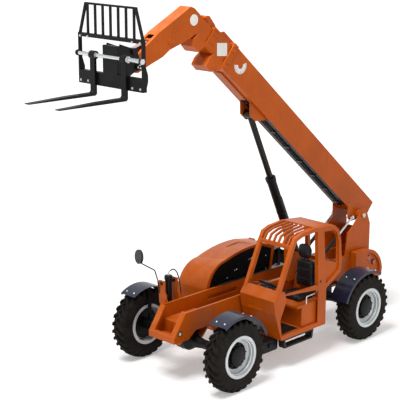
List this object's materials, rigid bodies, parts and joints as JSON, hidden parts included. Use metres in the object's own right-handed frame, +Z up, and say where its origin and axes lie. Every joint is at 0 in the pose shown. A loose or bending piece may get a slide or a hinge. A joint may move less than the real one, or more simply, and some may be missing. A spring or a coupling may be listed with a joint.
{
  "type": "telehandler",
  "caption": "Rough-terrain telehandler with three boom sections raised, pallet forks with a load backrest, open cab on the left and engine hood on the right",
  "frame": {"origin": "on the ground on the centre plane, halfway between the two axles", "axes": "+X forward, +Y to the machine's left, +Z up"},
  "size_m": [8, 2.599, 6.5],
  "materials": {
    "frame_sides": "gloss orange enamel",
    "frame_members": "gloss orange enamel",
    "slide_rails": "bare steel worn bright",
    "rear_housing": "gloss orange enamel",
    "rear_axle": "semi-gloss black enamel",
    "cab_body": "gloss orange enamel",
    "cab_rops": "gloss orange enamel",
    "cab_roof": "gloss orange enamel",
    "seat_base": "gloss orange enamel",
    "seat_cushion": "black vinyl over foam",
    "seat_back": "black vinyl over foam",
    "steering_wheel": "dark plastic",
    "step_box": "semi-gloss black enamel",
    "hood_base": "gloss orange enamel",
    "engine_block": "semi-gloss black enamel",
    "mirror": "black plastic",
    "rear_lamps": "red lens plastic",
    "grab_handle": "light grey enamel",
    "front_axle": "semi-gloss black enamel",
    "hood": "gloss orange enamel",
    "hood_grille": "black powder-coated steel",
    "carriage": "gloss orange enamel",
    "boom_outer": "gloss orange enamel",
    "boom_mid": "gloss orange enamel",
    "boom_inner": "gloss orange enamel",
    "gooseneck": "gloss orange enamel",
    "lift_rod": "semi-gloss black enamel",
    "lift_barrel": "semi-gloss black enamel",
    "slave_barrels": "semi-gloss black enamel",
    "slave_rods": "hard chrome",
    "tilt_rod": "hard chrome",
    "fork_carriage": "semi-gloss black enamel",
    "fork_shaft": "bare steel worn bright",
    "fork_left": "semi-gloss black enamel",
    "fork_right": "semi-gloss black enamel",
    "sway_barrel": "semi-gloss black enamel",
    "sway_rod": "hard chrome",
    "knuckle_front_left": "semi-gloss black enamel",
    "fender_front_left": "dark slate plastic",
    "rim_front_left": "silver-grey enamel",
    "tyre_front_left": "black rubber",
    "knuckle_front_right": "semi-gloss black enamel",
    "fender_front_right": "dark slate plastic",
    "rim_front_right": "silver-grey enamel",
    "tyre_front_right": "black rubber",
    "knuckle_rear_left": "semi-gloss black enamel",
    "fender_rear_left": "dark slate plastic",
    "rim_rear_left": "silver-grey enamel",
    "tyre_rear_left": "black rubber",
    "knuckle_rear_right": "semi-gloss black enamel",
    "fender_rear_right": "dark slate plastic",
    "rim_rear_right": "silver-grey enamel",
    "tyre_rear_right": "black rubber"
  },
  "bodies": {
    "chassis": {"frame_sides": "frame_sides", "frame_members": "frame_members", "slide_rails": "slide_rails", "rear_housing": "rear_housing", "rear_axle": "rear_axle", "cab_body": "cab_body", "cab_rops": "cab_rops", "cab_roof": "cab_roof", "seat_base": "seat_base", "seat_cushion": "seat_cushion", "seat_back": "seat_back", "steering_wheel": "steering_wheel", "step_box": "step_box", "hood_base": "hood_base", "engine_block": "engine_block", "mirror": "mirror", "rear_lamps": "rear_lamps", "grab_handle": "grab_handle"},
    "front_axle": {"front_axle": "front_axle"},
    "hood": {"hood": "hood", "hood_grille": "hood_grille"},
    "carriage": {"carriage": "carriage"},
    "boom_outer": {"boom_outer": "boom_outer"},
    "boom_mid": {"boom_mid": "boom_mid"},
    "gooseneck": {"boom_inner": "boom_inner", "gooseneck": "gooseneck"},
    "lift_rod": {"lift_rod": "lift_rod"},
    "lift_barrel": {"lift_barrel": "lift_barrel"},
    "slave_barrels": {"slave_barrels": "slave_barrels"},
    "slave_rods": {"slave_rods": "slave_rods"},
    "tilt_rod": {"tilt_rod": "tilt_rod"},
    "fork_carriage": {"fork_carriage": "fork_carriage", "fork_shaft": "fork_shaft"},
    "fork_left": {"fork_left": "fork_left"},
    "fork_right": {"fork_right": "fork_right"},
    "sway_barrel": {"sway_barrel": "sway_barrel"},
    "sway_rod": {"sway_rod": "sway_rod"},
    "knuckle_front_left": {"knuckle_front_left": "knuckle_front_left", "fender_front_left": "fender_front_left"},
    "wheel_front_left": {"rim_front_left": "rim_front_left", "tyre_front_left": "tyre_front_left"},
    "knuckle_front_right": {"knuckle_front_right": "knuckle_front_right", "fender_front_right": "fender_front_right"},
    "wheel_front_right": {"rim_front_right": "rim_front_right", "tyre_front_right": "tyre_front_right"},
    "knuckle_rear_left": {"knuckle_rear_left": "knuckle_rear_left", "fender_rear_left": "fender_rear_left"},
    "wheel_rear_left": {"rim_rear_left": "rim_rear_left", "tyre_rear_left": "tyre_rear_left"},
    "knuckle_rear_right": {"knuckle_rear_right": "knuckle_rear_right", "fender_rear_right": "fender_rear_right"},
    "wheel_rear_right": {"rim_rear_right": "rim_rear_right", "tyre_rear_right": "tyre_rear_right"}
  },
  "joints": [
    {"name": "boom_transfer", "type": "slide", "parent": "chassis", "child": "carriage", "axis": [1, 0, 0], "range_m": [0, 1.07]},
    {"name": "boom_lift", "type": "hinge", "parent": "carriage", "child": "boom_outer", "pos_m": [-2.79, 0, 2.03], "axis": [0, -1, 0], "range_deg": [-43, 29]},
    {"name": "boom_extend", "type": "slide", "parent": "boom_outer", "child": "boom_mid", "axis": [0.7547, 0, 0.6561], "range_m": [0, 2.65]},
    {"name": "boom_extend_inner", "type": "slide", "parent": "boom_mid", "child": "gooseneck", "axis": [0.7547, 0, 0.6561], "range_m": [0, 2.65]},
    {"name": "fork_tilt", "type": "hinge", "parent": "gooseneck", "child": "fork_carriage", "pos_m": [2.94752, 0, 5.52029], "axis": [0, 1, 0], "range_deg": [-52, 60]},
    {"name": "tilt_rod_slide", "type": "slide", "parent": "gooseneck", "child": "tilt_rod", "axis": [0.9797, 0, -0.2004], "range_m": [-0.25, 0.27]},
    {"name": "fork_left_slide", "type": "slide", "parent": "fork_carriage", "child": "fork_left", "axis": [0, 1, 0], "range_m": [-0.13, 0.25]},
    {"name": "fork_right_slide", "type": "slide", "parent": "fork_carriage", "child": "fork_right", "axis": [0, -1, 0], "range_m": [-0.13, 0.25]},
    {"name": "lift_rod_hinge", "type": "hinge", "parent": "boom_outer", "child": "lift_rod", "pos_m": [0.17988, 0, 4.3798], "axis": [0, -1, 0], "range_deg": [-3, 3]},
    {"name": "lift_barrel_slide", "type": "slide", "parent": "lift_rod", "child": "lift_barrel", "axis": [-0.4177, 0, -0.9086], "range_m": [-1.27, 0.86]},
    {"name": "slave_barrel_hinge", "type": "hinge", "parent": "carriage", "child": "slave_barrels", "pos_m": [-1.62, 0, 1.4], "axis": [0, -1, 0], "range_deg": [-7, 10]},
    {"name": "slave_rod_slide", "type": "slide", "parent": "slave_barrels", "child": "slave_rods", "axis": [-0.8262, 0, 0.5633], "range_m": [-0.08, 0.06]},
    {"name": "front_axle_sway", "type": "hinge", "parent": "chassis", "child": "front_axle", "pos_m": [1.74, 0, 0.7], "axis": [1, 0, 0], "range_deg": [-10, 10]},
    {"name": "sway_barrel_hinge", "type": "hinge", "parent": "chassis", "child": "sway_barrel", "pos_m": [1.74, -0.45, 1.56], "axis": [1, 0, 0], "range_deg": [-2, 2]},
    {"name": "sway_rod_slide", "type": "slide", "parent": "sway_barrel", "child": "sway_rod", "axis": [0, 0, -1], "range_m": [-0.085, 0.085]},
    {"name": "hood_open", "type": "hinge", "parent": "chassis", "child": "hood", "pos_m": [-1.03, -0.79, 1.64], "axis": [0, -1, 0], "range_deg": [0, 50]},
    {"name": "steer_front_left", "type": "hinge", "parent": "front_axle", "child": "knuckle_front_left", "pos_m": [1.74, 0.86, 0.635], "axis": [0, 0, 1], "range_deg": [-38, 38]},
    {"name": "spin_front_left", "type": "hinge", "parent": "knuckle_front_left", "child": "wheel_front_left", "pos_m": [1.74, 1.137, 0.635], "axis": [0, 1, 0], "continuous": true},
    {"name": "steer_front_right", "type": "hinge", "parent": "front_axle", "child": "knuckle_front_right", "pos_m": [1.74, -0.86, 0.635], "axis": [0, 0, 1], "range_deg": [-38, 38]},
    {"name": "spin_front_right", "type": "hinge", "parent": "knuckle_front_right", "child": "wheel_front_right", "pos_m": [1.74, -1.137, 0.635], "axis": [0, 1, 0], "continuous": true},
    {"name": "steer_rear_left", "type": "hinge", "parent": "chassis", "child": "knuckle_rear_left", "pos_m": [-1.74, 0.86, 0.635], "axis": [0, 0, 1], "range_deg": [-38, 38]},
    {"name": "spin_rear_left", "type": "hinge", "parent": "knuckle_rear_left", "child": "wheel_rear_left", "pos_m": [-1.74, 1.137, 0.635], "axis": [0, 1, 0], "continuous": true},
    {"name": "steer_rear_right", "type": "hinge", "parent": "chassis", "child": "knuckle_rear_right", "pos_m": [-1.74, -0.86, 0.635], "axis": [0, 0, 1], "range_deg": [-38, 38]},
    {"name": "spin_rear_right", "type": "hinge", "parent": "knuckle_rear_right", "child": "wheel_rear_right", "pos_m": [-1.74, -1.137, 0.635], "axis": [0, 1, 0], "continuous": true}
  ],
  "couplings": [
    {"joint": "boom_extend_inner", "follows": "boom_extend", "ratio": 1},
    {"joint": "tilt_rod_slide", "follows": "fork_tilt", "m_per_rad": 0.235},
    {"joint": "lift_rod_hinge", "follows": "boom_lift", "ratio": -0.03},
    {"joint": "lift_barrel_slide", "follows": "boom_lift", "m_per_rad": 1.667},
    {"joint": "slave_barrel_hinge", "follows": "boom_lift", "ratio": -0.195},
    {"joint": "slave_rod_slide", "follows": "boom_lift", "m_per_rad": 0.0917},
    {"joint": "sway_barrel_hinge", "follows": "front_axle_sway", "ratio": -0.13},
    {"joint": "sway_rod_slide", "follows": "front_axle_sway", "m_per_rad": 0.45},
    {"joint": "steer_front_right", "follows": "steer_front_left", "ratio": 1},
    {"joint": "steer_rear_right", "follows": "steer_rear_left", "ratio": 1}
  ]
}
